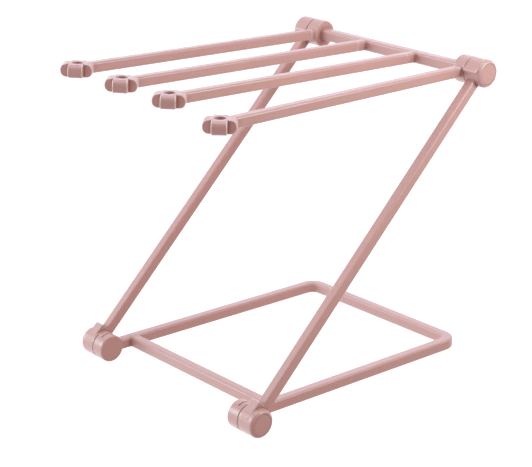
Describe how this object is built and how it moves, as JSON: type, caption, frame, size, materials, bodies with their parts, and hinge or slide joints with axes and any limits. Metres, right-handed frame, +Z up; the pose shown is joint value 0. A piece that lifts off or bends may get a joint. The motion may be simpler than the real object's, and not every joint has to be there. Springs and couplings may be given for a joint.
{
  "type": "bottle drying rack",
  "caption": "Folding plastic rack: a flat base frame, two leaning struts and a top frame with level arms that end in lobed posts for bottles.",
  "frame": {"origin": "centre of the rack's footprint, on the surface it stands on", "axes": "+X across the rack along its hinge axes, -Y towards the arm tips, +Z up"},
  "size_m": [0.196, 0.2566, 0.2328],
  "materials": {
    "plastic": "satin moulded plastic, dusty pink",
    "steel": "plain"
  },
  "bodies": {
    "base": {"base_frame": "plastic", "pivot_screw_lower_left": "steel", "pivot_screw_lower_right": "steel"},
    "struts": {"strut_left": "plastic", "strut_right": "plastic", "hinge_cap_lower_left": "plastic", "hinge_cap_lower_right": "plastic", "hinge_cap_upper_left": "plastic", "hinge_cap_upper_right": "plastic", "hinge_washer_lower_left": "steel", "hinge_washer_lower_right": "steel", "hinge_washer_upper_left": "steel", "hinge_washer_upper_right": "steel"},
    "top": {"top_frame": "plastic", "arm_outer_left": "plastic", "arm_inner_left": "plastic", "arm_inner_right": "plastic", "arm_outer_right": "plastic", "pivot_screw_upper_left": "steel", "pivot_screw_upper_right": "steel"}
  },
  "joints": [
    {"name": "base_fold", "type": "hinge", "parent": "base", "child": "struts", "pos_m": [0, -0.09874, 0.0102], "axis": [1, 0, 0], "range_deg": [-43.7, 0]},
    {"name": "top_fold", "type": "hinge", "parent": "struts", "child": "top", "pos_m": [0, 0.11815, 0.21746], "axis": [1, 0, 0], "range_deg": [0, 42.2]}
  ]
}
